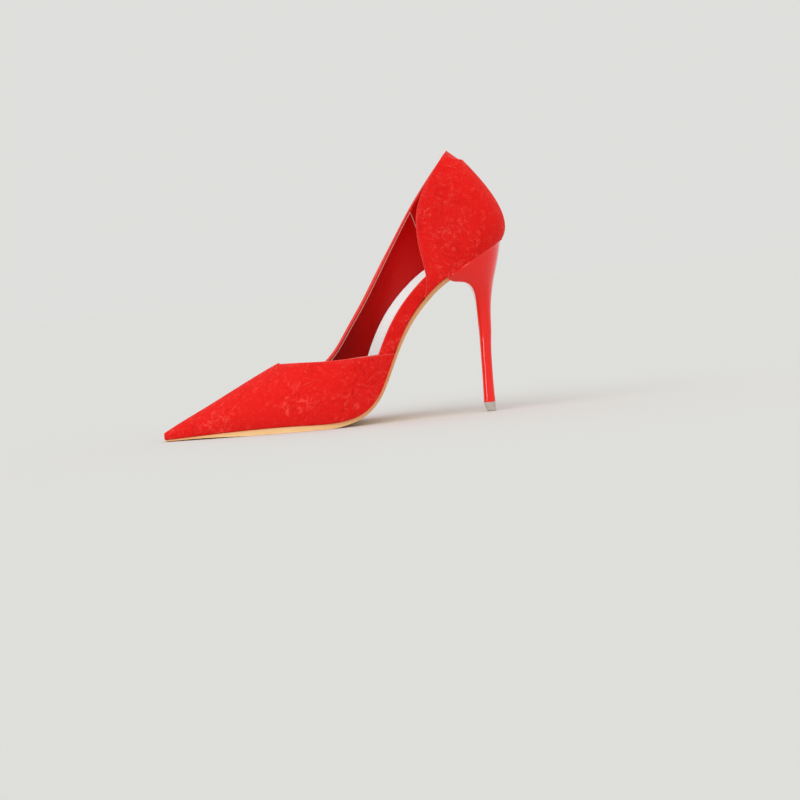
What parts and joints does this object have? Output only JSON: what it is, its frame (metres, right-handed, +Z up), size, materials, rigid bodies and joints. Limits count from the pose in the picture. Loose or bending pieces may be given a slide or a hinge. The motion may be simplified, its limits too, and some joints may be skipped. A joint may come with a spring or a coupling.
{
  "type": "high heel pump",
  "caption": "Pointed-toe half-d'Orsay stiletto pump: closed outer side, cut-away inner side bridged by a narrow strip along the waist, tall slim gloss heel.",
  "frame": {"origin": "ground level, under the middle of the shoe's length and width", "axes": "-X to the toe, +X to the heel, -Y the inner (cut-away) side, +Z up"},
  "size_m": [0.2208, 0.0734, 0.1617],
  "materials": {
    "suede": "crushed suede with a mottled nap",
    "lining": "smooth glossy dark red lining leather",
    "sock": "smooth off-white sock leather",
    "sole_leather": "tan sole, waxed edge",
    "heel_gloss": "high-gloss lacquer over the heel",
    "heel_abs": "moulded, plain",
    "clear_tip": "clear polyurethane, polished",
    "stiffener": "thermoplastic sheet",
    "interlining": "woven cotton backing",
    "board": "cellulose fibre board",
    "cork": "cork filler sheet",
    "foam": "open-cell latex foam",
    "steel": "bright steel"
  },
  "bodies": {
    "root": {"vamp_and_outer_quarter": "suede", "inner_quarter": "suede", "waist_strip": "suede", "toe_puff": "stiffener", "heel_counter": "stiffener", "upper_interlining": "interlining", "vamp_lining": "lining", "outer_quarter_lining": "lining", "heel_grip": "lining", "waist_strip_lining": "lining", "insole_board": "board", "shank": "steel", "shank_rivets": "steel", "bottom_filler": "cork", "cushion_layer": "foam", "sock_lining": "sock", "outsole": "sole_leather", "heel_core": "heel_abs", "heel_cover": "heel_gloss", "heel_tube": "steel", "heel_screw": "steel", "heel_nails": "steel", "top_piece": "clear_tip", "top_piece_pin": "steel"}
  },
  "joints": []
}
